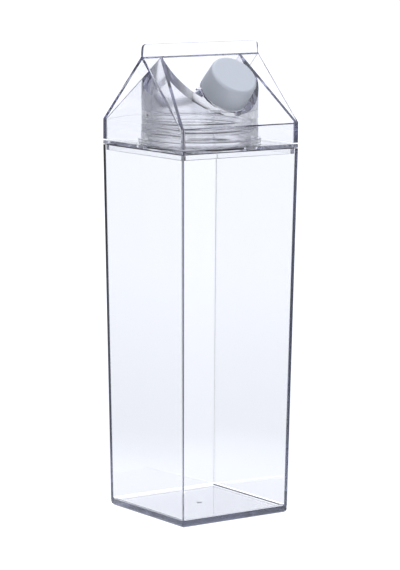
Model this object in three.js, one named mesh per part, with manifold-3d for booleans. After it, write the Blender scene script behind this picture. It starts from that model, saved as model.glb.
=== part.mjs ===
// A clear square drink bottle shaped like a gable-top carton, in millimetres.
// The origin is at the middle of the foot and +Z is up. +X runs along the ridge of the roof, and
// the roof slope that carries the spout and its white screw cap faces -Y.

import * as THREE from "three";
import { mergeVertices } from "three/addons/utils/BufferGeometryUtils.js";
import Module from "manifold-3d";

const wasm = await Module();
wasm.setup();

// Space left between pieces that lie against each other
const GAP = 0.3;

// Jar: a square box, open at the top, that narrows downwards
const TOP_SIDE = 75;
const FOOT_SIDE = 68.8;
const EDGE_RADIUS = 0.6;
const JAR_WALL = 1.4;
const JAR_FLOOR = 3.6;
const FOOT_RADIUS = 2;
const INSIDE_RADIUS = 1.2;
const JAR_TOP = 198.3;

// Shoulder: the plate welded on the jar, its plug inside the jar and its threaded neck
const PLATE_THICKNESS = 2;
const PLUG_DEPTH = 3.2;
const PLUG_WALL = 1.6;
const NECK_RADIUS = 27.2;
const NECK_WALL = 2.3;
const NECK_TOP = 217.2;
const LIP_CHAMFER = 0.5;

// Thread of the neck, and the mating one inside the lid
const THREAD_PITCH = 3.75;
const THREAD_START = 204.6;
const NECK_THREAD = { turns: 2.4, height: 1.2, rootWidth: 2.4, crestWidth: 1, outward: 1 };
const LID_THREAD = { turns: 1.6, height: 0.8, rootWidth: 2, crestWidth: 1, outward: -1 };
const THREAD_ROOTING = 0.3;
const THREAD_RUN_OUT = 0.12;

// Seal ring that lies round the foot of the neck
const SEAL_OUTER_RADIUS = 32.3;
const SEAL_HEIGHT = 2.4;
const SEAL_CHAMFER = 0.4;

// Lid: a square skirt under a gable roof, with end panels that lean in and a round inner wall
const LID_WALL = 1.8;
const LID_INSIDE_RADIUS = 1;
const LID_BOTTOM = 201.3;
const EAVE = 212;
const RIDGE = 248.2;
const END_INSET = 11;
const INNER_RADIUS = 28.7;
const LID_INNER_WALL = 2;
const LEDGE_WIDTH = 3.8;

// Upright fin along the ridge
const FIN_TOP = 254;
const FIN_THICKNESS = 2;
const FIN_CORNER = 2.4;
const FIN_ROOT = 1.5;

// Spout on the front slope, measured along the slope from the eave and square to the slope
const SPOUT_UP_SLOPE = 22.7;
const SPOUT_RADIUS = 10.6;
const SPOUT_WALL = 2;
const SPOUT_HEIGHT = 12;
const COLLAR_RADIUS = 13.4;
const COLLAR_HEIGHT = 1;

// Small wedge beside the collar, on the -X side and a little up the slope from the spout's centre
const LUG_REACH = 15.9;
const LUG_UP_SLOPE = 3.6;
const LUG_ROOT_WIDTH = 2;
const LUG_TIP_WIDTH = 0.8;
const LUG_HEIGHT = 0.9;

// Screw cap over the spout
const CAP_HEIGHT = 13.7;
const CAP_FOOT_RADIUS = 13.5;
const CAP_TOP_RADIUS = 12.9;
const CAP_ROUNDING = 1.6;
const CAP_WALL = 1.8;

// How finely the round forms are divided
const CORNER_STEPS = 3;
const FOOT_STEPS = 4;
const ROUND_STEPS = 48;
const THREAD_STEPS = 32;
const SPOUT_STEPS = 40;
const ROUNDING_STEPS = 4;

// Sizes worked out from the ones above
const TOP_HALF = TOP_SIDE / 2;
const FOOT_HALF = FOOT_SIDE / 2;
const PLATE_BOTTOM = JAR_TOP + GAP;
const PLATE_TOP = PLATE_BOTTOM + PLATE_THICKNESS;
const SEAL_BOTTOM = PLATE_TOP + GAP;
const SEAL_TOP = SEAL_BOTTOM + SEAL_HEIGHT;
const SLOPE_ANGLE = Math.atan2(RIDGE - EAVE, TOP_HALF);
const ROOF_DROP = LID_WALL / Math.cos(SLOPE_ANGLE);
const SPOUT_CENTRE = new THREE.Vector3(
  0,
  SPOUT_UP_SLOPE * Math.cos(SLOPE_ANGLE) - TOP_HALF,
  EAVE + SPOUT_UP_SLOPE * Math.sin(SLOPE_ANGLE)
);

// Half the side of the jar at a height, with its draft
function jarHalf(height) {
  return FOOT_HALF + (TOP_HALF - FOOT_HALF) * (height / JAR_TOP);
}

// A level square loop with rounded corners, anticlockwise seen from above
function squareRing(half, radius, height) {
  const ring = [];
  for (let corner = 0; corner < 4; corner += 1) {
    const turn = (corner * Math.PI) / 2;
    for (let step = 0; step <= CORNER_STEPS; step += 1) {
      const angle = (step / CORNER_STEPS) * (Math.PI / 2);
      const point = new THREE.Vector2(half - radius, half - radius);
      point.x += radius * Math.cos(angle);
      point.y += radius * Math.sin(angle);
      point.rotateAround(new THREE.Vector2(), turn);
      ring.push(new THREE.Vector3(point.x, point.y, height));
    }
  }
  return ring;
}

// A closed skin over loops that have the same number of points, with a flat cap at each end
function loft(rings) {
  const count = rings[0].length;
  const last = (rings.length - 1) * count;
  const index = [];
  for (let start = 0; start < last; start += count) {
    for (let i = 0; i < count; i += 1) {
      const a = start + i;
      const b = start + ((i + 1) % count);
      index.push(a, b, b + count);
      index.push(a, b + count, a + count);
    }
  }
  for (let i = 1; i + 1 < count; i += 1) {
    index.push(0, i + 1, i);
    index.push(last, last + i, last + i + 1);
  }
  const geometry = new THREE.BufferGeometry().setFromPoints(rings.flat());
  geometry.setIndex(index);
  return geometry;
}

// A straight block over a rounded square, between two heights
function squareBlock(half, radius, bottom, top) {
  return loft([squareRing(half, radius, bottom), squareRing(half, radius, top)]);
}

// An outline in Y and Z, carried along X over the whole length
function alongX(outline, length) {
  const geometry = new THREE.ExtrudeGeometry(outline, { depth: length, bevelEnabled: false });
  const across = new THREE.Vector3(0, 1, 0);
  const up = new THREE.Vector3(0, 0, 1);
  const along = new THREE.Vector3(1, 0, 0);
  geometry.applyMatrix4(new THREE.Matrix4().makeBasis(across, up, along));
  return geometry.translate(-length / 2, 0, 0);
}

// An outline in X and Z, carried along Y over the whole length
function alongY(outline, length) {
  const geometry = new THREE.ExtrudeGeometry(outline, { depth: length, bevelEnabled: false });
  return geometry.rotateX(Math.PI / 2).translate(0, length / 2, 0);
}

// A profile of radius and height, turned round the Z axis
function turned(profile, steps) {
  const points = profile.map(([radius, height]) => new THREE.Vector2(radius, height));
  return new THREE.LatheGeometry(points, steps).rotateX(Math.PI / 2);
}

// The same mesh with shared corners merged and empty triangles dropped
function welded(geometry) {
  const bare = geometry.clone();
  bare.deleteAttribute("normal");
  bare.deleteAttribute("uv");
  const merged = mergeVertices(bare);
  const corners = merged.index.array;
  const kept = [];
  for (let i = 0; i < corners.length; i += 3) {
    const [a, b, c] = corners.slice(i, i + 3);
    if (a !== b && b !== c && c !== a) {
      kept.push(a, b, c);
    }
  }
  merged.setIndex(kept);
  return merged;
}

// A mesh as a solid that can be joined and cut
function solid(geometry) {
  const mesh = welded(geometry);
  return new wasm.Manifold(
    new wasm.Mesh({
      numProp: 3,
      vertProperties: new Float32Array(mesh.attributes.position.array),
      triVerts: new Uint32Array(mesh.index.array)
    })
  );
}

// A joined or cut solid as a mesh again
function surface(manifold) {
  const mesh = manifold.getMesh();
  const geometry = new THREE.BufferGeometry();
  geometry.setAttribute("position", new THREE.BufferAttribute(new Float32Array(mesh.vertProperties), 3));
  geometry.setIndex(Array.from(mesh.triVerts));
  return geometry;
}

// A screw thread on a round wall: a ridge that climbs as it turns and runs out at both ends
function thread(shape, wallRadius, start) {
  const steps = Math.round(shape.turns * THREAD_STEPS);
  const rings = [];
  for (let step = 0; step <= steps; step += 1) {
    const turns = step / THREAD_STEPS;
    const toEnd = Math.min(turns, shape.turns - turns);
    const growth = Math.min(1, toEnd / THREAD_RUN_OUT);
    const rise = shape.height * growth - (THREAD_ROOTING / 2) * (1 - growth);
    const crest = wallRadius + shape.outward * rise;
    const root = wallRadius - shape.outward * THREAD_ROOTING;
    const middle = start + turns * THREAD_PITCH;
    const low = shape.outward > 0 ? [root, shape.rootWidth] : [crest, shape.crestWidth];
    const high = shape.outward > 0 ? [crest, shape.crestWidth] : [root, shape.rootWidth];
    const section = [
      [low[0], middle - low[1] / 2],
      [low[0], middle + low[1] / 2],
      [high[0], middle + high[1] / 2],
      [high[0], middle - high[1] / 2]
    ];
    const angle = turns * 2 * Math.PI;
    rings.push(
      section.map(([radius, height]) => {
        return new THREE.Vector3(radius * Math.cos(angle), radius * Math.sin(angle), height);
      })
    );
  }
  return loft(rings);
}

// Moves a solid that stands on the XY plane to stand on the front slope, over the spout's centre
function ontoSlope(geometry) {
  geometry.rotateX(SLOPE_ANGLE);
  return geometry.translate(SPOUT_CENTRE.x, SPOUT_CENTRE.y, SPOUT_CENTRE.z);
}

// The jar is one skin, up its outside, over the rim and down its inside to the floor
function jar() {
  const rings = [];
  for (let step = 0; step <= FOOT_STEPS; step += 1) {
    const angle = (step / FOOT_STEPS) * (Math.PI / 2);
    const inset = FOOT_RADIUS * (1 - Math.sin(angle));
    const height = FOOT_RADIUS * (1 - Math.cos(angle));
    rings.push(squareRing(jarHalf(height) - inset, EDGE_RADIUS + inset / 2, height));
  }
  rings.push(squareRing(TOP_HALF, EDGE_RADIUS, JAR_TOP));
  rings.push(squareRing(TOP_HALF - JAR_WALL, EDGE_RADIUS, JAR_TOP));
  for (let step = FOOT_STEPS; step >= 0; step -= 1) {
    const angle = (step / FOOT_STEPS) * (Math.PI / 2);
    const inset = INSIDE_RADIUS * (1 - Math.sin(angle));
    const height = JAR_FLOOR + INSIDE_RADIUS * (1 - Math.cos(angle));
    rings.push(squareRing(jarHalf(height) - JAR_WALL - inset, EDGE_RADIUS + inset / 2, height));
  }
  return loft(rings);
}

// The shoulder plate with its plug and its neck, bored through
function shoulder() {
  const plugHalf = jarHalf(JAR_TOP - PLUG_DEPTH) - JAR_WALL - GAP;
  const plugBottom = PLATE_BOTTOM - PLUG_DEPTH;
  const inPlate = PLATE_BOTTOM + PLATE_THICKNESS / 2;
  const below = plugBottom - GAP;
  const boreRadius = NECK_RADIUS - NECK_WALL;
  const neck = [
    [0, inPlate],
    [NECK_RADIUS, inPlate],
    [NECK_RADIUS, NECK_TOP - LIP_CHAMFER],
    [NECK_RADIUS - LIP_CHAMFER, NECK_TOP],
    [0, NECK_TOP]
  ];
  const bore = [
    [0, below],
    [boreRadius, below],
    [boreRadius, NECK_TOP + GAP],
    [0, NECK_TOP + GAP]
  ];
  const plate = solid(squareBlock(TOP_HALF, EDGE_RADIUS, PLATE_BOTTOM, PLATE_TOP));
  const plug = solid(squareBlock(plugHalf, EDGE_RADIUS, plugBottom, inPlate));
  const hollow = solid(squareBlock(plugHalf - PLUG_WALL, EDGE_RADIUS, below, PLATE_BOTTOM));
  const whole = plate
    .add(plug.subtract(hollow))
    .add(solid(turned(neck, ROUND_STEPS)))
    .add(solid(thread(NECK_THREAD, NECK_RADIUS, THREAD_START)))
    .subtract(solid(turned(bore, ROUND_STEPS)));
  return surface(whole);
}

// The ring has its edges taken off where the lid presses on it
function sealRing() {
  const inner = NECK_RADIUS + GAP;
  const profile = [
    [SEAL_OUTER_RADIUS, SEAL_BOTTOM],
    [SEAL_OUTER_RADIUS, SEAL_TOP - SEAL_CHAMFER],
    [SEAL_OUTER_RADIUS - SEAL_CHAMFER, SEAL_TOP],
    [inner + SEAL_CHAMFER, SEAL_TOP],
    [inner, SEAL_TOP - SEAL_CHAMFER],
    [inner, SEAL_BOTTOM],
    [SEAL_OUTER_RADIUS, SEAL_BOTTOM]
  ];
  return turned(profile, ROUND_STEPS);
}

// Everything under a gable roof: a wall outline in Y and Z, lowered by a drop measured upright
function gable(half, bottom, drop) {
  const slope = Math.tan(SLOPE_ANGLE);
  const outline = new THREE.Shape();
  outline.moveTo(-half, bottom);
  outline.lineTo(half, bottom);
  outline.lineTo(half, RIDGE - drop - half * slope);
  outline.lineTo(0, RIDGE - drop);
  outline.lineTo(-half, RIDGE - drop - half * slope);
  outline.closePath();
  return outline;
}

// What lies between the leaning end panels, moved inwards by a thickness
function betweenEnds(half, bottom, thickness) {
  const rise = RIDGE - ROOF_DROP - EAVE;
  const lean = END_INSET / rise;
  const shift = thickness * Math.hypot(1, lean);
  const overTop = RIDGE - EAVE;
  const outline = new THREE.Shape();
  outline.moveTo(-half, bottom);
  outline.lineTo(half, bottom);
  outline.lineTo(half, EAVE + (TOP_HALF - shift - half) / lean);
  outline.lineTo(TOP_HALF - shift - overTop * lean, EAVE + overTop);
  outline.lineTo(shift + overTop * lean - TOP_HALF, EAVE + overTop);
  outline.lineTo(-half, EAVE + (TOP_HALF - shift - half) / lean);
  outline.closePath();
  return outline;
}

// The space inside the lid, with its walls moved outwards by a growth
function lidSpace(growth) {
  const half = TOP_HALF - LID_WALL + growth;
  const drop = (LID_WALL - growth) / Math.cos(SLOPE_ANGLE);
  const bottom = LID_BOTTOM - GAP;
  return solid(squareBlock(half, LID_INSIDE_RADIUS, bottom, RIDGE))
    .intersect(solid(alongX(gable(half + GAP, bottom - GAP, drop), TOP_SIDE)))
    .intersect(solid(alongY(betweenEnds(half, bottom - GAP, LID_WALL - growth), TOP_SIDE)));
}

// The pocket outside a leaning end panel, under the roof that overhangs it
function endPocket(side) {
  const outside = side * (TOP_HALF + END_INSET);
  const apex = side * (TOP_HALF - END_INSET);
  const outline = new THREE.Shape();
  outline.moveTo(side * TOP_HALF, EAVE);
  outline.lineTo(apex, RIDGE - ROOF_DROP);
  outline.lineTo(outside, RIDGE - ROOF_DROP);
  outline.lineTo(outside, EAVE);
  outline.closePath();
  const underRoof = gable(TOP_HALF, EAVE - 2 * ROOF_DROP, ROOF_DROP);
  return solid(alongY(outline, TOP_SIDE)).intersect(solid(alongX(underRoof, 2 * Math.abs(outside))));
}

// The fin stands on the ridge, with its two top corners rounded
function fin() {
  const outline = new THREE.Shape();
  outline.moveTo(-TOP_HALF, RIDGE - FIN_ROOT);
  outline.lineTo(TOP_HALF, RIDGE - FIN_ROOT);
  outline.absarc(TOP_HALF - FIN_CORNER, FIN_TOP - FIN_CORNER, FIN_CORNER, 0, Math.PI / 2);
  outline.absarc(FIN_CORNER - TOP_HALF, FIN_TOP - FIN_CORNER, FIN_CORNER, Math.PI / 2, Math.PI);
  outline.closePath();
  return solid(alongY(outline, FIN_THICKNESS));
}

// The spout is a plain tube with a low collar, and its bore goes through the roof
function spout() {
  const rooting = LID_WALL / 2;
  const boreRadius = SPOUT_RADIUS - SPOUT_WALL;
  const tube = [
    [0, -rooting],
    [COLLAR_RADIUS, -rooting],
    [COLLAR_RADIUS, COLLAR_HEIGHT],
    [SPOUT_RADIUS, COLLAR_HEIGHT],
    [SPOUT_RADIUS, SPOUT_HEIGHT],
    [0, SPOUT_HEIGHT]
  ];
  const bore = [
    [0, -2 * LID_WALL],
    [boreRadius, -2 * LID_WALL],
    [boreRadius, SPOUT_HEIGHT + GAP],
    [0, SPOUT_HEIGHT + GAP]
  ];
  return {
    tube: solid(ontoSlope(turned(tube, SPOUT_STEPS))),
    bore: solid(ontoSlope(turned(bore, SPOUT_STEPS)))
  };
}

// The wedge lies on the slope, rooted in the roof and in the collar
function stopLug() {
  const rooting = LID_WALL / 2;
  const outline = new THREE.Shape();
  outline.moveTo(-SPOUT_RADIUS, LUG_UP_SLOPE + LUG_ROOT_WIDTH / 2);
  outline.lineTo(-LUG_REACH, LUG_UP_SLOPE + LUG_TIP_WIDTH / 2);
  outline.lineTo(-LUG_REACH, LUG_UP_SLOPE - LUG_TIP_WIDTH / 2);
  outline.lineTo(-SPOUT_RADIUS, LUG_UP_SLOPE - LUG_ROOT_WIDTH / 2);
  outline.closePath();
  const depth = rooting + LUG_HEIGHT;
  const geometry = new THREE.ExtrudeGeometry(outline, { depth, bevelEnabled: false });
  return solid(ontoSlope(geometry.translate(0, 0, -rooting)));
}

// The round wall inside the lid is thin round the neck, and thicker above the ledge over its lip
function innerWall() {
  const foot = SEAL_TOP + GAP;
  const ledge = NECK_TOP + GAP;
  const outer = INNER_RADIUS + LID_INNER_WALL;
  const profile = [
    [outer, foot],
    [outer, RIDGE],
    [INNER_RADIUS - LEDGE_WIDTH, RIDGE],
    [INNER_RADIUS - LEDGE_WIDTH, ledge],
    [INNER_RADIUS, ledge],
    [INNER_RADIUS, foot],
    [outer, foot]
  ];
  return solid(turned(profile, ROUND_STEPS));
}

// The lid is one moulding: roof, skirt, end panels, fin, inner wall with its thread, spout and lug
function lid() {
  const { tube, bore } = spout();
  const shell = solid(squareBlock(TOP_HALF, EDGE_RADIUS, LID_BOTTOM, RIDGE + GAP))
    .intersect(solid(alongX(gable(TOP_HALF + GAP, LID_BOTTOM - GAP, 0), TOP_SIDE + GAP)))
    .subtract(endPocket(1))
    .subtract(endPocket(-1))
    .subtract(lidSpace(0));
  const whole = shell
    .add(fin())
    .add(innerWall().intersect(lidSpace(LID_WALL / 2)))
    .add(solid(thread(LID_THREAD, INNER_RADIUS, THREAD_START + THREAD_PITCH / 2)))
    .add(tube)
    .add(stopLug())
    .subtract(bore);
  return surface(whole);
}

// The cap is a cup turned over the spout, open at its foot, with a rounded top edge
function cap() {
  const profile = [
    [0, CAP_HEIGHT - CAP_WALL],
    [CAP_FOOT_RADIUS - CAP_WALL, CAP_HEIGHT - CAP_WALL],
    [CAP_FOOT_RADIUS - CAP_WALL, 0],
    [CAP_FOOT_RADIUS, 0]
  ];
  for (let step = 0; step <= ROUNDING_STEPS; step += 1) {
    const angle = (step / ROUNDING_STEPS) * (Math.PI / 2);
    const radius = CAP_TOP_RADIUS - CAP_ROUNDING * (1 - Math.cos(angle));
    profile.push([radius, CAP_HEIGHT - CAP_ROUNDING * (1 - Math.sin(angle))]);
  }
  profile.push([0, CAP_HEIGHT]);
  return turned(profile, SPOUT_STEPS);
}

// Clear moulded plastic, with the faint blue of the thick edges
function clearPlastic() {
  return new THREE.MeshStandardMaterial({
    color: 0xe9edf6,
    roughness: 0.05,
    metalness: 0,
    transparent: true,
    opacity: 0.3
  });
}

// Pale milky silicone
function sealSilicone() {
  return new THREE.MeshStandardMaterial({ color: 0xc9cbd6, roughness: 0.5, metalness: 0 });
}

// White moulded plastic with a satin skin
function whitePlastic() {
  return new THREE.MeshStandardMaterial({ color: 0xdfe3e8, roughness: 0.4, metalness: 0 });
}

// One named piece of the bottle
function piece(name, geometry, material) {
  const mesh = new THREE.Mesh(geometry, material);
  mesh.name = name;
  return mesh;
}

const bottle = new THREE.Group();
bottle.add(piece("body", jar(), clearPlastic()));
bottle.add(piece("shoulder", shoulder(), clearPlastic()));
bottle.add(piece("seal_ring", sealRing(), sealSilicone()));
bottle.add(piece("lid", lid(), clearPlastic()));

// The cap stands square to the front slope, just clear of the collar
const capPiece = piece("cap", cap(), whitePlastic());
const capOffset = new THREE.Vector3(0, -Math.sin(SLOPE_ANGLE), Math.cos(SLOPE_ANGLE));
capPiece.position.copy(SPOUT_CENTRE).addScaledVector(capOffset, COLLAR_HEIGHT + GAP);
capPiece.rotation.x = SLOPE_ANGLE;
bottle.add(capPiece);

export default bottle;
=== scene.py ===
import math
from contextlib import contextmanager

import bmesh
import bpy
from mathutils import Matrix, Vector


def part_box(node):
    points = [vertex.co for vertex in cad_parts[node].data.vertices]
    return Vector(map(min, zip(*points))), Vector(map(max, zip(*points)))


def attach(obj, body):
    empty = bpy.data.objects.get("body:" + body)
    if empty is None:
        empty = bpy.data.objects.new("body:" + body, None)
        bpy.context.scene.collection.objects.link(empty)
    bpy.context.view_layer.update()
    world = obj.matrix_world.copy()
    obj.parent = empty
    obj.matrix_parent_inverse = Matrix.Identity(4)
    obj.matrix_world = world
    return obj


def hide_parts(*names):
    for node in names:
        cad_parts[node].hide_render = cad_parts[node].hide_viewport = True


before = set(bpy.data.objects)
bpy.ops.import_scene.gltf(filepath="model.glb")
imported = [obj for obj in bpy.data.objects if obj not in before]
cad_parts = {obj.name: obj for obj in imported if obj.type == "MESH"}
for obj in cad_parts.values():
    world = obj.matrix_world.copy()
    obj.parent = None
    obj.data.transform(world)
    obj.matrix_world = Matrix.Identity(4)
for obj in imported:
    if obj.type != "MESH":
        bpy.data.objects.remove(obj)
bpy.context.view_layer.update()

# A clear, empty, square drink bottle shaped like a gable-top carton. +X runs along its ridge, and
# the roof slope that carries the spout and the white screw cap faces -Y. Lengths are in metres.
MM = 0.001

# Outer sizes, read from the frame
jar_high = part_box("body")[1]
lid_low, lid_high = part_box("lid")
neck_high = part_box("shoulder")[1]
seal_low, seal_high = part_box("seal_ring")
TOP_HALF = jar_high.x
JAR_TOP = jar_high.z
LID_BOTTOM = lid_low.z
FIN_TOP = lid_high.z
NECK_TOP = neck_high.z
SEAL_RADIUS = seal_high.x
SEAL_BOTTOM = seal_low.z
SEAL_TOP = seal_high.z

# Jar
GAP = 0.3 * MM
FOOT_HALF = 34.4 * MM
JAR_WALL = 1.4 * MM
JAR_FLOOR = 3.6 * MM
EDGE_RADIUS = 0.3 * MM
INNER_EDGE_RADIUS = 0.4 * MM
FOOT_RADIUS = 2 * MM
INSIDE_RADIUS = 1.2 * MM
SOFT_EDGE = 0.25 * MM
GATE_RADIUS = 1.3 * MM
GATE_HEIGHT = 0.5 * MM

# Shoulder and neck
PLATE_THICKNESS = 2 * MM
PLUG_DEPTH = 3.2 * MM
PLUG_WALL = 1.6 * MM
NECK_RADIUS = 27.2 * MM
NECK_WALL = 2.3 * MM
LIP_RADIUS = 0.6 * MM
PLATE_BOTTOM = JAR_TOP + GAP
PLATE_TOP = PLATE_BOTTOM + PLATE_THICKNESS

# Threads
THREAD_PITCH = 3.75 * MM
THREAD_START = 204.6 * MM
THREAD_ROOTING = 0.3 * MM
THREAD_CORNER = 0.3 * MM
NECK_THREAD = {"turns": 2.4, "height": 1.2 * MM, "root": 2.4 * MM, "crest": 1.0 * MM}
LID_THREAD = {"turns": 1.6, "height": 0.8 * MM, "root": 2.0 * MM, "crest": 1.0 * MM}

# Seal ring
SEAL_INNER_RADIUS = NECK_RADIUS + GAP
SEAL_EDGE = 0.5 * MM

# Lid
LID_WALL = 1.8 * MM
LID_INSIDE_RADIUS = 1 * MM
EAVE = 212 * MM
RIDGE = 248.2 * MM
END_INSET = 11 * MM
INNER_RADIUS = 28.7 * MM
INNER_WALL = 2 * MM
LEDGE_WIDTH = 3.8 * MM
LEDGE_HEIGHT = NECK_TOP + GAP
FIN_THICKNESS = 2 * MM
FIN_CORNER = 2.4 * MM
FIN_ROOT = 1.5 * MM
FIN_EDGE = 0.6 * MM
SLOPE = math.atan2(RIDGE - EAVE, TOP_HALF)
ROOF_DROP = LID_WALL / math.cos(SLOPE)
END_LEAN = math.atan2(END_INSET, RIDGE - ROOF_DROP - EAVE)

# Spout and cap, square to the front slope
SPOUT_UP_SLOPE = 22.7 * MM
SPOUT_RADIUS = 10.6 * MM
SPOUT_WALL = 2 * MM
SPOUT_HEIGHT = 12 * MM
SPOUT_EDGE = 0.5 * MM
COLLAR_RADIUS = 13.4 * MM
COLLAR_HEIGHT = 1 * MM
LUG_REACH = 15.9 * MM
LUG_UP_SLOPE = 3.6 * MM
LUG_ROOT_WIDTH = 2 * MM
LUG_TIP_WIDTH = 0.8 * MM
LUG_HEIGHT = 0.9 * MM
CAP_HEIGHT = 13.7 * MM
CAP_FOOT_RADIUS = 13.5 * MM
CAP_TOP_RADIUS = 12.9 * MM
CAP_ROUNDING = 1.6 * MM
CAP_WALL = 1.8 * MM
SPOUT_CENTRE = Vector((0, -TOP_HALF, EAVE)) + SPOUT_UP_SLOPE * Vector((0, math.cos(SLOPE), math.sin(SLOPE)))

# How finely round forms are divided: first full turns, then edges, from the widest rounding down
ROUND = 160
SMALL_ROUND = 96
GATE_ROUND = 32
WIDE_STEPS = 10
INSIDE_STEPS = 8
EDGE_STEPS = 6
LIP_STEPS = 4
SOFT_STEPS = 3
THREAD_STEPS = 2

# How close counts as touching, and the angles from which an edge is sharp and is softened
SLACK = 0.01 * MM
SHARP = math.radians(30)
SOFTEN_FROM = math.radians(35)


def jar_half(height):
    """Half the side of the jar at a height, with its draft."""
    return FOOT_HALF + (TOP_HALF - FOOT_HALF) * height / JAR_TOP


def inside_half(height):
    """Half the side of the space inside the jar at a height."""
    return jar_half(height) - JAR_WALL


# Modelling


def fresh():
    """Deselects everything, so that the next operator acts only on what is added or picked."""
    bpy.ops.object.select_all(action="DESELECT")


def choose(piece):
    """Selects one piece, so that the next operator acts on it alone."""
    fresh()
    piece.select_set(True)
    bpy.context.view_layer.objects.active = piece


def settle(piece):
    """Puts a piece's place, turn and scale into its mesh."""
    choose(piece)
    bpy.ops.object.transform_apply(location=True, rotation=True, scale=True)
    return piece


def block(name, low, high):
    """A box between two corners."""
    fresh()
    low, high = Vector(low), Vector(high)
    bpy.ops.mesh.primitive_cube_add(size=1, location=(low + high) / 2)
    piece = bpy.context.object
    piece.name = name
    piece.scale = high - low
    return settle(piece)


def square_block(name, half, low, high):
    """A box over a square round the upright axis, between two heights."""
    return block(name, (-half, -half, low), (half, half, high))


def rod(name, radius, low, high, sides=ROUND):
    """A cylinder round the upright axis, between two heights."""
    fresh()
    middle = (0, 0, (low + high) / 2)
    bpy.ops.mesh.primitive_cylinder_add(vertices=sides, radius=radius, depth=high - low, location=middle)
    piece = bpy.context.object
    piece.name = name
    return settle(piece)


@contextmanager
def editing(piece):
    """Edit mode on one piece."""
    choose(piece)
    bpy.ops.object.mode_set(mode="EDIT")
    yield
    bpy.ops.object.mode_set(mode="OBJECT")


def pick(kind, test):
    """In edit mode, selects the verts, edges or faces that pass a test, and nothing else."""
    bpy.ops.mesh.select_mode(type=kind[:-1].upper())
    bpy.ops.mesh.select_all(action="DESELECT")
    data = bpy.context.object.data
    mesh = bmesh.from_edit_mesh(data)
    for element in getattr(mesh, kind):
        if test(element):
            element.select_set(True)
    mesh.select_flush_mode()
    bmesh.update_edit_mesh(data)


def bevel(radius, segments):
    """Rounds the picked edges."""
    bpy.ops.mesh.bevel(offset=radius, segments=segments, profile=0.5, affect="EDGES", clamp_overlap=False)


def grow(x, y, z, centre=(0, 0, 0)):
    """Scales what is picked about a centre."""
    bpy.ops.transform.resize(value=(x, y, z), center_override=centre)


def extrude(x, y, z):
    """Extrudes the picked face and moves it."""
    bpy.ops.mesh.extrude_region_move(TRANSFORM_OT_translate={"value": (x, y, z)})


def upright(edge):
    """True for an edge that runs up and down."""
    a, b = (v.co for v in edge.verts)
    return abs(a.z - b.z) > 0.8 * (a - b).length


def level_at(height):
    """A test for sharp edges that lie at a height, which leaves out lines drawn across a flat face."""

    def level(edge):
        return edge.calc_face_angle(0) > SHARP and all(abs(v.co.z - height) < SLACK for v in edge.verts)

    return level


def level_ring(height, radius):
    """A test for edges that lie at a height and a distance from the upright axis."""
    near = level_at(height)

    def ring(edge):
        return near(edge) and all(abs(math.hypot(v.co.x, v.co.y) - radius) < SLACK for v in edge.verts)

    return ring


def facing_down(face):
    """True for a face that looks down."""
    return face.normal.z < -0.5


def round_upright(radius, segments=EDGE_STEPS):
    """In edit mode, rounds the edges that run up and down."""
    pick("edges", upright)
    bevel(radius, segments)


def round_level(height, radius=SOFT_EDGE, segments=SOFT_STEPS):
    """In edit mode, rounds the sharp edges at a height, or softens them if no radius is given."""
    pick("edges", level_at(height))
    bevel(radius, segments)


def combine(piece, other, how):
    """Joins, cuts or trims a piece by another, which is used up."""
    choose(piece)
    modifier = piece.modifiers.new(how, "BOOLEAN")
    modifier.operation = how
    modifier.solver = "EXACT"
    modifier.object = other
    bpy.ops.object.modifier_apply(modifier=modifier.name)
    bpy.data.objects.remove(other, do_unlink=True)
    return piece


def sliced(piece, point, outward):
    """Cuts away what lies outside a plane and closes the cut."""
    with editing(piece):
        bpy.ops.mesh.select_all(action="SELECT")
        bpy.ops.mesh.bisect(plane_co=point, plane_no=outward, use_fill=True, clear_outer=True)
    return piece


def soften(piece):
    """Rounds every sharp edge of a piece a little."""
    choose(piece)
    modifier = piece.modifiers.new("soft edges", "BEVEL")
    modifier.width = SOFT_EDGE
    modifier.segments = SOFT_STEPS
    modifier.limit_method = "ANGLE"
    modifier.angle_limit = SOFTEN_FROM
    modifier.miter_outer = "MITER_ARC"
    modifier.use_clamp_overlap = True
    bpy.ops.object.modifier_apply(modifier=modifier.name)


def smooth(piece):
    """Smooth shading that stops at sharp edges and leaves the wide faces flat beside their soft edges."""
    choose(piece)
    bpy.ops.object.shade_smooth_by_angle(angle=SHARP)
    modifier = piece.modifiers.new("flat faces", "WEIGHTED_NORMAL")
    modifier.mode = "FACE_AREA"
    modifier.weight = 90
    modifier.keep_sharp = True
    bpy.ops.object.modifier_apply(modifier=modifier.name)


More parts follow.
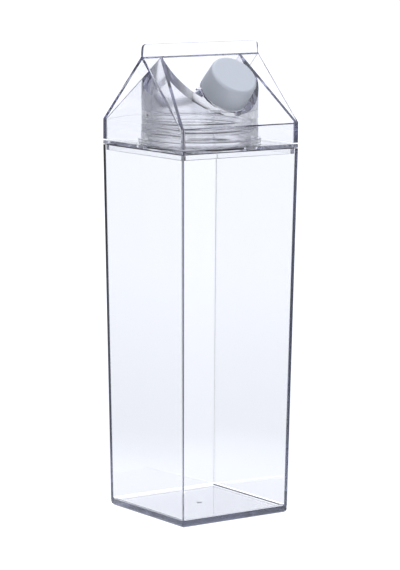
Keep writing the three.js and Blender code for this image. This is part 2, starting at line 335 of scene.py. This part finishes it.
def screw_thread(name, wall_radius, outward, shape):
    """A ridge that climbs as it turns, rooted in a round wall, with both ends sunk into the wall."""
    fresh()
    depth = shape["height"] + THREAD_ROOTING
    middle = wall_radius + outward * (depth / 2 - THREAD_ROOTING)
    start = THREAD_START if outward > 0 else THREAD_START + THREAD_PITCH / 2
    bpy.ops.mesh.primitive_plane_add(size=1, location=(middle, 0, start), rotation=(math.pi / 2, 0, 0))
    ridge = bpy.context.object
    ridge.name = name
    ridge.scale = (depth, shape["root"], 1)
    settle(ridge)
    with editing(ridge):
        pick("verts", lambda v: (v.co.x - middle) * outward > 0)
        grow(1, 1, shape["crest"] / shape["root"], (middle, 0, start))
        bpy.ops.mesh.bevel(offset=THREAD_CORNER, segments=THREAD_STEPS, affect="VERTICES")
        bpy.ops.mesh.select_all(action="SELECT")
        bpy.ops.mesh.delete(type="ONLY_FACE")
    screw = ridge.modifiers.new("climb", "SCREW")
    screw.angle = shape["turns"] * 2 * math.pi
    screw.screw_offset = shape["turns"] * THREAD_PITCH
    screw.steps = screw.render_steps = round(shape["turns"] * ROUND)
    screw.use_merge_vertices = False
    screw.use_smooth_shade = False
    bpy.ops.object.modifier_apply(modifier=screw.name)
    with editing(ridge):
        bpy.ops.mesh.select_all(action="SELECT")
        bpy.ops.mesh.fill_holes(sides=0)
        bpy.ops.mesh.normals_make_consistent(inside=False)
        pick("faces", lambda face: len(face.verts) > 4)
        sink = 1 - outward * depth / wall_radius
        grow(sink, sink, 1)
    return ridge


def onto_slope(piece, lift=0.0):
    """Turns a piece that stands at the origin to stand on the front slope, over the spout's centre."""
    piece.rotation_euler = (SLOPE, 0, 0)
    piece.location = SPOUT_CENTRE + lift * Vector((0, -math.sin(SLOPE), math.cos(SLOPE)))
    return settle(piece)


# Pieces


def tub(name, half_at, low, high, edge_radius, foot_radius, steps):
    """A tapered square block with rounded upright edges and a foot that rounds under."""
    piece = square_block(name, half_at(high), low + foot_radius, high)
    half = half_at(low + foot_radius)
    with editing(piece):
        pick("faces", facing_down)
        grow(half / half_at(high), half / half_at(high), 1)
        round_upright(edge_radius)
        pick("faces", facing_down)
        height = low + foot_radius
        for step in range(1, steps + 1):
            angle = math.pi / 2 * step / steps
            next_height = low + foot_radius * (1 - math.sin(angle))
            next_half = half_at(next_height) - foot_radius * (1 - math.cos(angle))
            extrude(0, 0, next_height - height)
            grow(next_half / half, next_half / half, 1, (0, 0, next_height))
            height, half = next_height, next_half
    return piece


def make_jar():
    """The square jar: a tapered tub hollowed by a smaller one, with a softened rim and a gate mark."""
    jar = tub("jar", jar_half, 0, JAR_TOP, EDGE_RADIUS, FOOT_RADIUS, WIDE_STEPS)
    rim_cut = JAR_TOP + GAP
    hollow = tub("hollow", inside_half, JAR_FLOOR, rim_cut, INNER_EDGE_RADIUS, INSIDE_RADIUS, INSIDE_STEPS)
    combine(jar, hollow, "DIFFERENCE")
    with editing(jar):
        round_level(JAR_TOP)
    gate = rod("gate", GATE_RADIUS, JAR_FLOOR - GATE_HEIGHT, JAR_FLOOR + GATE_HEIGHT, GATE_ROUND)
    with editing(gate):
        round_level(JAR_FLOOR + GATE_HEIGHT)
    return combine(jar, gate, "UNION")


def make_shoulder():
    """The plate welded on the jar, its plug inside the jar, and its threaded neck."""
    plate = square_block("shoulder_plate", TOP_HALF, PLATE_BOTTOM, PLATE_TOP)
    with editing(plate):
        round_upright(EDGE_RADIUS)
        round_level(PLATE_TOP)
        round_level(PLATE_BOTTOM)
    plate_middle = PLATE_BOTTOM + PLATE_THICKNESS / 2
    plug_bottom = PLATE_BOTTOM - PLUG_DEPTH
    plug = square_block("plug", inside_half(plug_bottom) - GAP, plug_bottom, plate_middle)
    with editing(plug):
        pick("faces", facing_down)
        bpy.ops.mesh.inset(thickness=PLUG_WALL)
        extrude(0, 0, PLUG_DEPTH)
        round_upright(EDGE_RADIUS)
        round_level(plug_bottom)
    neck = rod("neck", NECK_RADIUS, plate_middle, NECK_TOP)
    with editing(neck):
        round_level(NECK_TOP, LIP_RADIUS, LIP_STEPS)
    throat = rod("throat", NECK_RADIUS - NECK_WALL, plug_bottom - GAP, NECK_TOP + GAP)
    combine(plate, plug, "UNION")
    combine(plate, neck, "UNION")
    combine(plate, screw_thread("neck_thread", NECK_RADIUS, 1, NECK_THREAD), "UNION")
    combine(plate, throat, "DIFFERENCE")
    with editing(plate):
        pick("edges", level_ring(NECK_TOP, NECK_RADIUS - NECK_WALL))
        bevel(LIP_RADIUS, LIP_STEPS)
    return plate


def make_seal():
    """The seal ring: a flat band with rounded edges, turned once round."""
    fresh()
    middle = ((SEAL_RADIUS + SEAL_INNER_RADIUS) / 2, 0, (SEAL_BOTTOM + SEAL_TOP) / 2)
    bpy.ops.mesh.primitive_plane_add(size=1, location=middle, rotation=(math.pi / 2, 0, 0))
    seal = bpy.context.object
    seal.name = "seal"
    seal.scale = (SEAL_RADIUS - SEAL_INNER_RADIUS, SEAL_TOP - SEAL_BOTTOM, 1)
    settle(seal)
    with editing(seal):
        bpy.ops.mesh.select_all(action="SELECT")
        bpy.ops.mesh.bevel(offset=SEAL_EDGE, segments=SOFT_STEPS, affect="VERTICES")
        bpy.ops.mesh.select_all(action="SELECT")
        bpy.ops.mesh.delete(type="ONLY_FACE")
        bpy.ops.mesh.select_all(action="SELECT")
        bpy.ops.mesh.spin(steps=ROUND, angle=2 * math.pi, center=(0, 0, 0), axis=(0, 0, 1))
        bpy.ops.mesh.select_all(action="SELECT")
        bpy.ops.mesh.remove_doubles(threshold=SLACK)
        bpy.ops.mesh.normals_make_consistent(inside=False)
    return seal


def under_roof(piece, drop):
    """Slices a piece by both roof planes, lowered by a drop that is measured upright."""
    for side in (-1, 1):
        sliced(piece, (0, 0, RIDGE - drop), (0, side * math.sin(SLOPE), math.cos(SLOPE)))
    return piece


def lid_space(growth):
    """The space inside the lid, with its walls moved outwards by a growth."""
    space = square_block("lid_space", TOP_HALF - LID_WALL + growth, LID_BOTTOM - GAP, RIDGE)
    with editing(space):
        round_upright(LID_INSIDE_RADIUS, INSIDE_STEPS)
    under_roof(space, (LID_WALL - growth) / math.cos(SLOPE))
    for side in (-1, 1):
        outward = Vector((side * math.cos(END_LEAN), 0, math.sin(END_LEAN)))
        point = Vector((side * TOP_HALF, 0, EAVE)) - (LID_WALL - growth) * outward
        sliced(space, point, outward)
    return space


def end_pocket(side):
    """The pocket outside a leaning end panel, under the roof that overhangs it."""
    near = side * (TOP_HALF - 2 * END_INSET)
    far = side * (TOP_HALF + END_INSET)
    pocket = block("pocket", (min(near, far), -TOP_HALF, EAVE), (max(near, far), TOP_HALF, RIDGE))
    under_roof(pocket, ROOF_DROP)
    inward = (-side * math.cos(END_LEAN), 0, -math.sin(END_LEAN))
    return sliced(pocket, (side * TOP_HALF, 0, EAVE), inward)


def make_inner_wall():
    """The lid's round inner wall, thicker above the ledge that rests on the neck, up to the roof."""
    foot = SEAL_TOP + GAP
    wall = rod("inner_wall", INNER_RADIUS + INNER_WALL, foot, RIDGE + 2 * LID_WALL)
    with editing(wall):
        pick("faces", facing_down)
        bpy.ops.mesh.inset(thickness=INNER_WALL)
        extrude(0, 0, LEDGE_HEIGHT - foot)
        bpy.ops.mesh.inset(thickness=LEDGE_WIDTH)
        extrude(0, 0, RIDGE + LID_WALL - LEDGE_HEIGHT)
        round_level(foot)
        pick("edges", level_ring(LEDGE_HEIGHT, INNER_RADIUS - LEDGE_WIDTH))
        bevel(SOFT_EDGE, SOFT_STEPS)
    return combine(wall, lid_space(LID_WALL / 2), "INTERSECT")


def make_lug():
    """A small wedge beside the collar, narrower at its tip, before it is turned onto the slope."""
    half = LUG_ROOT_WIDTH / 2
    low = (-LUG_REACH, LUG_UP_SLOPE - half, -LID_WALL / 2)
    lug = block("lug", low, (-SPOUT_RADIUS, LUG_UP_SLOPE + half, LUG_HEIGHT))
    with editing(lug):
        pick("faces", lambda face: face.normal.x < -0.5)
        grow(1, LUG_TIP_WIDTH / LUG_ROOT_WIDTH, 1, (0, LUG_UP_SLOPE, 0))
    return lug


def make_spout():
    """The spout tube on its low collar, with its lug, as a plain rod that is bored later."""
    collar = rod("spout", COLLAR_RADIUS, -LID_WALL / 2, COLLAR_HEIGHT, SMALL_ROUND)
    with editing(collar):
        round_level(COLLAR_HEIGHT, SPOUT_EDGE, LIP_STEPS)
    tube = rod("tube", SPOUT_RADIUS, 0, SPOUT_HEIGHT, SMALL_ROUND)
    with editing(tube):
        round_level(SPOUT_HEIGHT, SPOUT_EDGE, LIP_STEPS)
    combine(collar, make_lug(), "UNION")
    return onto_slope(combine(collar, tube, "UNION"))


def make_fin():
    """The fin along the ridge, with round corners at its two ends and rounded edges above the roof."""
    half = FIN_THICKNESS / 2
    fin = block("fin", (-TOP_HALF, -half, RIDGE - FIN_ROOT), (TOP_HALF, half, FIN_TOP))
    top = level_at(FIN_TOP)

    def corner(edge):
        return top(edge) and abs(edge.verts[0].co.y - edge.verts[1].co.y) > SLACK

    def above_roof(edge):
        return edge.calc_face_angle(0) > SHARP and min(v.co.z for v in edge.verts) > RIDGE

    with editing(fin):
        pick("edges", corner)
        bevel(FIN_CORNER, INSIDE_STEPS)
        pick("edges", above_roof)
        bevel(FIN_EDGE, LIP_STEPS)
    return fin


def make_lid():
    """The roof lid: skirt, roof, leaning end panels, fin, round inner wall with its thread, and spout."""
    lid = square_block("roof_lid", TOP_HALF, LID_BOTTOM, RIDGE + LID_WALL)
    with editing(lid):
        round_upright(EDGE_RADIUS)
    under_roof(lid, 0)
    combine(lid, make_fin(), "UNION")
    for side in (-1, 1):
        combine(lid, end_pocket(side), "DIFFERENCE")
    combine(lid, lid_space(0), "DIFFERENCE")
    soften(lid)
    combine(lid, make_inner_wall(), "UNION")
    combine(lid, screw_thread("lid_thread", INNER_RADIUS, -1, LID_THREAD), "UNION")
    combine(lid, make_spout(), "UNION")
    bore = onto_slope(rod("bore", SPOUT_RADIUS - SPOUT_WALL, -2 * LID_WALL, SPOUT_HEIGHT + GAP, SMALL_ROUND))
    return combine(lid, bore, "DIFFERENCE")


def make_cap():
    """The screw cap: a tapered cup with a rounded top edge, turned over the spout."""
    cap = rod("screw_cap", CAP_FOOT_RADIUS, 0, CAP_HEIGHT, SMALL_ROUND)
    with editing(cap):
        pick("faces", lambda face: face.normal.z > 0.5)
        grow(CAP_TOP_RADIUS / CAP_FOOT_RADIUS, CAP_TOP_RADIUS / CAP_FOOT_RADIUS, 1)
        pick("faces", facing_down)
        bpy.ops.mesh.inset(thickness=CAP_WALL)
        extrude(0, 0, CAP_HEIGHT - CAP_WALL)
        round_level(CAP_HEIGHT, CAP_ROUNDING, WIDE_STEPS)
        round_level(0)
    return onto_slope(cap, COLLAR_HEIGHT + GAP)


# Materials

# The faint tint of the clear plastic, and how much a metre of it takes from the light
JAR_TINT = "#9096B0"
JAR_TINT_STRENGTH = 36.0
LID_TINT = "#9C9EBE"
LID_TINT_STRENGTH = 32.0
NECK_TINT_STRENGTH = 12.0

# Its faint waves and its haze: how wide they are, and how rough the haze gets
WAVE_SIZE = 22 * MM
HAZE_SIZE = 6 * MM
HAZE_ROUGHNESS = 0.03

# The blasted underside of the foot: how high it reaches and how rough it is
UNDERSIDE = 0.3 * MM
UNDERSIDE_ROUGHNESS = 0.15

# The bore of the lid's inner wall above the ledge, left a little soft by the core that shaped it: how
# close to the bore that skin lies, and how rough it is
BORE_SKIN = 0.1 * MM
BORE_ROUGHNESS = 0.16

# The grain of the seal ring's skin and of the cap's
SEAL_GRAIN = 1.5 * MM
CAP_GRAIN = 0.35 * MM


def linear(hex_colour):
    """An sRGB hex colour as the linear colour that shaders read."""
    channels = [int(hex_colour[i : i + 2], 16) / 255 for i in (1, 3, 5)]
    return [c / 12.92 if c <= 0.04045 else ((c + 0.055) / 1.055) ** 2.4 for c in channels] + [1.0]


def per_metre(size):
    """The scale of a pattern whose features are that many metres across."""
    return 1 / size


def add_node(tree, kind, settings=None, inputs=None, links=None):
    """Adds a node with its settings, the values of its inputs and the outputs that feed it."""
    node = tree.nodes.new(kind)
    for name, value in (settings or {}).items():
        setattr(node, name, value)
    for name, value in (inputs or {}).items():
        node.inputs[name].default_value = value
    for name, output in (links or {}).items():
        tree.links.new(output, node.inputs[name])
    return node


def sum_up(tree, operation, first, second=None, value=0.0):
    """One step of arithmetic on an output and another, or a value."""
    node = add_node(tree, "ShaderNodeMath", {"operation": operation})
    tree.links.new(first, node.inputs[0])
    if second is None:
        node.inputs[1].default_value = value
    else:
        tree.links.new(second, node.inputs[1])
    return node.outputs["Value"]


def new_material(name):
    """An empty material and its node tree."""
    material = bpy.data.materials.new(name)
    material.use_nodes = True
    material.node_tree.nodes.clear()
    return material, material.node_tree


def clear_skin(tree, place):
    """How rough clear plastic is at a place: polished with a trace of haze, faintly blasted under the
    foot, and a little soft in the bore of the lid's inner wall."""
    haze = add_node(
        tree,
        "ShaderNodeTexNoise",
        inputs={"Scale": per_metre(HAZE_SIZE), "Detail": 3.0, "Roughness": 0.6},
        links={"Vector": place},
    )
    polish = add_node(
        tree,
        "ShaderNodeMapRange",
        inputs={"From Min": 0.3, "From Max": 0.7, "To Min": 0.0, "To Max": HAZE_ROUGHNESS},
        links={"Value": haze.outputs["Fac"]},
    )
    axes = add_node(tree, "ShaderNodeSeparateXYZ", links={"Vector": place}).outputs
    under = add_node(
        tree,
        "ShaderNodeMapRange",
        inputs={"From Min": 0.0, "From Max": UNDERSIDE, "To Min": UNDERSIDE_ROUGHNESS, "To Max": 0.0},
        links={"Value": axes["Z"]},
    )
    rough = sum_up(tree, "ADD", polish.outputs["Result"], under.outputs["Result"])
    squares = sum_up(tree, "ADD", *(sum_up(tree, "MULTIPLY", axes[n], axes[n]) for n in "XY"))
    apart = sum_up(tree, "SUBTRACT", sum_up(tree, "SQRT", squares), value=INNER_RADIUS - LEDGE_WIDTH)
    on_bore = sum_up(tree, "LESS_THAN", sum_up(tree, "ABSOLUTE", apart), value=BORE_SKIN)
    above = sum_up(tree, "GREATER_THAN", axes["Z"], value=LEDGE_HEIGHT + SOFT_EDGE)
    soft = sum_up(tree, "MULTIPLY", sum_up(tree, "MULTIPLY", on_bore, above), value=BORE_ROUGHNESS)
    return sum_up(tree, "ADD", rough, soft)


def clear_copolyester(name, tint, strength):
    """Clear copolyester, injection moulded and polished: water clear in thin panes, blue-grey along
    its thick edges, with the faint long waves that a cooling mould leaves in a flat wall."""
    material, tree = new_material(name)
    place = add_node(tree, "ShaderNodeTexCoord").outputs["Object"]
    waves = add_node(
        tree,
        "ShaderNodeTexNoise",
        inputs={"Scale": per_metre(WAVE_SIZE), "Detail": 1.0, "Roughness": 0.4},
        links={"Vector": place},
    )
    bump = add_node(
        tree,
        "ShaderNodeBump",
        inputs={"Strength": 0.004, "Distance": 0.2 * MM},
        links={"Height": waves.outputs["Fac"]},
    )
    shader = add_node(
        tree,
        "ShaderNodeBsdfPrincipled",
        inputs={"Base Color": linear("#FFFFFF"), "IOR": 1.56, "Transmission Weight": 1.0},
        links={"Roughness": clear_skin(tree, place), "Normal": bump.outputs["Normal"]},
    )
    depth = add_node(
        tree,
        "ShaderNodeVolumeAbsorption",
        inputs={"Color": linear(tint), "Density": strength},
    )
    add_node(
        tree,
        "ShaderNodeOutputMaterial",
        links={"Surface": shader.outputs["BSDF"], "Volume": depth.outputs["Volume"]},
    )
    return material


def milky_silicone():
    """Silicone rubber, moulded: milky and see-through at once, with a soft satin skin."""
    material, tree = new_material("milky silicone")
    place = add_node(tree, "ShaderNodeTexCoord").outputs["Object"]
    grain = add_node(
        tree,
        "ShaderNodeTexNoise",
        inputs={"Scale": per_metre(SEAL_GRAIN), "Detail": 2.0},
        links={"Vector": place},
    )
    skin = add_node(
        tree,
        "ShaderNodeMapRange",
        inputs={"To Min": 0.04, "To Max": 0.1},
        links={"Value": grain.outputs["Fac"]},
    )
    shader = add_node(
        tree,
        "ShaderNodeBsdfPrincipled",
        inputs={"Base Color": linear("#FAFAFD"), "IOR": 1.41, "Transmission Weight": 1.0},
        links={"Roughness": skin.outputs["Result"]},
    )
    add_node(tree, "ShaderNodeOutputMaterial", links={"Surface": shader.outputs["BSDF"]})
    return material


def white_polypropylene():
    """White polypropylene, moulded in a finely blasted tool: a satin skin over a slightly soft body."""
    material, tree = new_material("white polypropylene")
    place = add_node(tree, "ShaderNodeTexCoord").outputs["Object"]
    grain = add_node(
        tree,
        "ShaderNodeTexNoise",
        inputs={"Scale": per_metre(CAP_GRAIN), "Detail": 2.0},
        links={"Vector": place},
    )
    bump = add_node(
        tree,
        "ShaderNodeBump",
        inputs={"Strength": 0.15, "Distance": 0.05 * MM},
        links={"Height": grain.outputs["Fac"]},
    )
    shader = add_node(
        tree,
        "ShaderNodeBsdfPrincipled",
        inputs={"Base Color": linear("#CDD2DA"), "IOR": 1.49, "Roughness": 0.42, "Subsurface Weight": 0.15},
        links={"Normal": bump.outputs["Normal"]},
    )
    shader.inputs["Subsurface Radius"].default_value = (1.2 * MM, 1.2 * MM, 1.4 * MM)
    add_node(tree, "ShaderNodeOutputMaterial", links={"Surface": shader.outputs["BSDF"]})
    return material


# Stage, light and camera

# The photograph's view, fitted to the corners of the bottle
AZIMUTH = math.radians(-35.15)
ELEVATION = math.radians(8.27)
ROLL = math.radians(0.245)
DISTANCE = 1.539
TARGET_HEIGHT = 0.1232
TARGET_SHIFT = 0.3 * MM
LENS = 180.3

# Light: a little blue, so that what is seen through the plastic is, while the bare floor is pure white.
# Each range below is where one level goes over into another.
STUDIO_LIGHT = (1.0, 1.025, 1.09, 1.0)

# The floor's painted glow, just below the foot: bright along the view, dim to its sides, a little brighter
# far off
FLOOR_RADIUS = 40
FLOOR_DROP = 0.2 * MM
FLOOR_BRIGHT = 1.0
FLOOR_DIM = 0.42
SIDE_REACH = 1.2
SIDE_RANGE = (0.095, 0.16)
FLOOR_GAIN = 1.12
FAR_RANGE = (0.1, 1.0)

# The floor's painted pool of light by the foot: a little brighter under it, and brightest in a rim that
# starts behind it
UNDER_GAIN = 1.15
RIM_GAIN = 1.9
RIM_START_RANGE = (FOOT_HALF, 34.8 * MM)
RIM_END_RANGE = (44 * MM, 47 * MM)
RIM_BACK_RANGE = (-5 * MM, 10 * MM)

# The room: bright low behind the bottle and high above it, dim all round
WORLD_DIM = 0.34
WORLD_BACK = 1.15
BACK_RANGE = (0.9, 0.97)
WORLD_TOP = 1.4
TOP_RANGE = (0.5, 0.9)

# How often light may bounce: it passes many clear walls, one behind the other
BOUNCES = 32


def make_camera():
    """The camera at the photograph's angle: it looks at the target from a long way off."""
    back = Vector((
        math.sin(AZIMUTH) * math.cos(ELEVATION),
        -math.cos(AZIMUTH) * math.cos(ELEVATION),
        math.sin(ELEVATION),
    ))
    level = Vector((math.cos(AZIMUTH), math.sin(AZIMUTH), 0))
    rise = back.cross(level)
    right = level * math.cos(ROLL) + rise * math.sin(ROLL)
    up = rise * math.cos(ROLL) - level * math.sin(ROLL)
    place = Vector((0, 0, TARGET_HEIGHT)) + level * TARGET_SHIFT + back * DISTANCE
    data = bpy.data.cameras.new("camera")
    data.lens = LENS
    data.sensor_width = 36
    data.clip_start = 0.01
    data.clip_end = 200
    camera = bpy.data.objects.new("camera", data)
    bpy.context.scene.collection.objects.link(camera)
    turn = Matrix((right, up, back)).transposed().to_4x4()
    camera.matrix_world = Matrix.Translation(place) @ turn
    bpy.context.scene.camera = camera


def view_axes(tree, coordinate):
    """Across, along and up, seen from the camera's side, of a texture coordinate."""
    place = add_node(tree, "ShaderNodeTexCoord").outputs[coordinate]
    turn = add_node(
        tree,
        "ShaderNodeMapping",
        inputs={"Rotation": (0, 0, -AZIMUTH)},
        links={"Vector": place},
    )
    return add_node(tree, "ShaderNodeSeparateXYZ", links={"Vector": turn.outputs["Vector"]}).outputs


def fade(tree, value, value_range, from_level, to_level):
    """A level that goes smoothly from one to another as a value rises through a range."""
    start, end = value_range
    return add_node(
        tree,
        "ShaderNodeMapRange",
        {"interpolation_type": "SMOOTHSTEP"},
        {"From Min": start, "From Max": end, "To Min": from_level, "To Max": to_level},
        {"Value": value},
    ).outputs["Result"]


def make_floor():
    """A wide pale floor that glows by itself, a painted light and no lamp: bright in front of and behind the
    bottle, dim to its sides, with a painted pool of light under the foot and a brighter rim behind it, which
    shines into the jar's clear floor."""
    fresh()
    bpy.ops.mesh.primitive_circle_add(
        vertices=SMALL_ROUND, radius=FLOOR_RADIUS, fill_type="NGON", location=(0, 0, -FLOOR_DROP)
    )
    floor = settle(bpy.context.object)
    floor.name = "floor"
    material, tree = new_material("floor with painted glow")
    axes = view_axes(tree, "Object")
    across = sum_up(tree, "ABSOLUTE", axes["X"])
    along = sum_up(tree, "ABSOLUTE", axes["Y"])
    spread = sum_up(tree, "DIVIDE", across, sum_up(tree, "ADD", along, value=SIDE_REACH))
    middle = fade(tree, spread, SIDE_RANGE, FLOOR_BRIGHT, FLOOR_DIM)
    distant = fade(tree, along, FAR_RANGE, 1.0, FLOOR_GAIN)
    # Painted pool of light in the floor's glow: a little brighter under the foot, brightest in a rim behind
    # it
    place = add_node(tree, "ShaderNodeTexCoord").outputs["Object"]
    sides = add_node(tree, "ShaderNodeSeparateXYZ", links={"Vector": place}).outputs
    reach = sum_up(tree, "MAXIMUM", *(sum_up(tree, "ABSOLUTE", sides[n]) for n in "XY"))
    inside = fade(tree, reach, RIM_START_RANGE, 0.0, 1.0)
    outside = fade(tree, reach, RIM_END_RANGE, 1.0, 0.0)
    beyond = fade(tree, axes["Y"], RIM_BACK_RANGE, 0.0, RIM_GAIN - UNDER_GAIN)
    rim = sum_up(tree, "MULTIPLY", sum_up(tree, "MULTIPLY", inside, outside), beyond)
    under = sum_up(tree, "ADD", rim, fade(tree, reach, RIM_END_RANGE, UNDER_GAIN, 1.0))
    level = sum_up(tree, "MULTIPLY", middle, distant)
    # The floor's emission is painted light, shaped into a bright middle, dim sides and a glowing rim by the
    # foot
    glow = add_node(
        tree,
        "ShaderNodeBsdfPrincipled",
        inputs={
            "Base Color": linear("#383838"),
            "Roughness": 0.9,
            "Specular IOR Level": 0.0,
            "Emission Color": STUDIO_LIGHT,
        },
        links={"Emission Strength": sum_up(tree, "MULTIPLY", level, under)},
    )
    add_node(tree, "ShaderNodeOutputMaterial", links={"Surface": glow.outputs["BSDF"]})
    floor.data.materials.append(material)


def make_light():
    """Soft white light low behind and high above, and dim sides, so that clear edges draw dark lines."""
    world = bpy.data.worlds.new("studio")
    bpy.context.scene.world = world
    world.use_nodes = True
    tree = world.node_tree
    tree.nodes.clear()
    axes = view_axes(tree, "Generated")
    behind = fade(tree, axes["Y"], BACK_RANGE, WORLD_DIM, WORLD_BACK)
    above = fade(tree, axes["Z"], TOP_RANGE, 0.0, WORLD_TOP)
    shine = add_node(
        tree,
        "ShaderNodeBackground",
        inputs={"Color": STUDIO_LIGHT},
        links={"Strength": sum_up(tree, "ADD", behind, above)},
    )
    add_node(tree, "ShaderNodeOutputWorld", links={"Surface": shine.outputs["Background"]})


def dress(piece, node, material):
    """Smooths a piece, gives it its material and slot, and puts it in a node's place."""
    smooth(piece)
    piece.data.materials.clear()
    piece.data.materials.append(material)
    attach(piece, "root")
    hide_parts(node)


make_camera()
make_floor()
make_light()
jar_plastic = clear_copolyester("clear copolyester of the jar", JAR_TINT, JAR_TINT_STRENGTH)
neck_plastic = clear_copolyester("clear copolyester of the neck", LID_TINT, NECK_TINT_STRENGTH)
lid_plastic = clear_copolyester("clear copolyester of the lid", LID_TINT, LID_TINT_STRENGTH)
dress(make_jar(), "body", jar_plastic)
dress(make_shoulder(), "shoulder", neck_plastic)
dress(make_seal(), "seal_ring", milky_silicone())
dress(make_lid(), "lid", lid_plastic)
dress(make_cap(), "cap", white_polypropylene())

scene = bpy.context.scene
scene.view_settings.view_transform = "Standard"
scene.cycles.max_bounces = BOUNCES
scene.cycles.transmission_bounces = BOUNCES
scene.cycles.glossy_bounces = BOUNCES
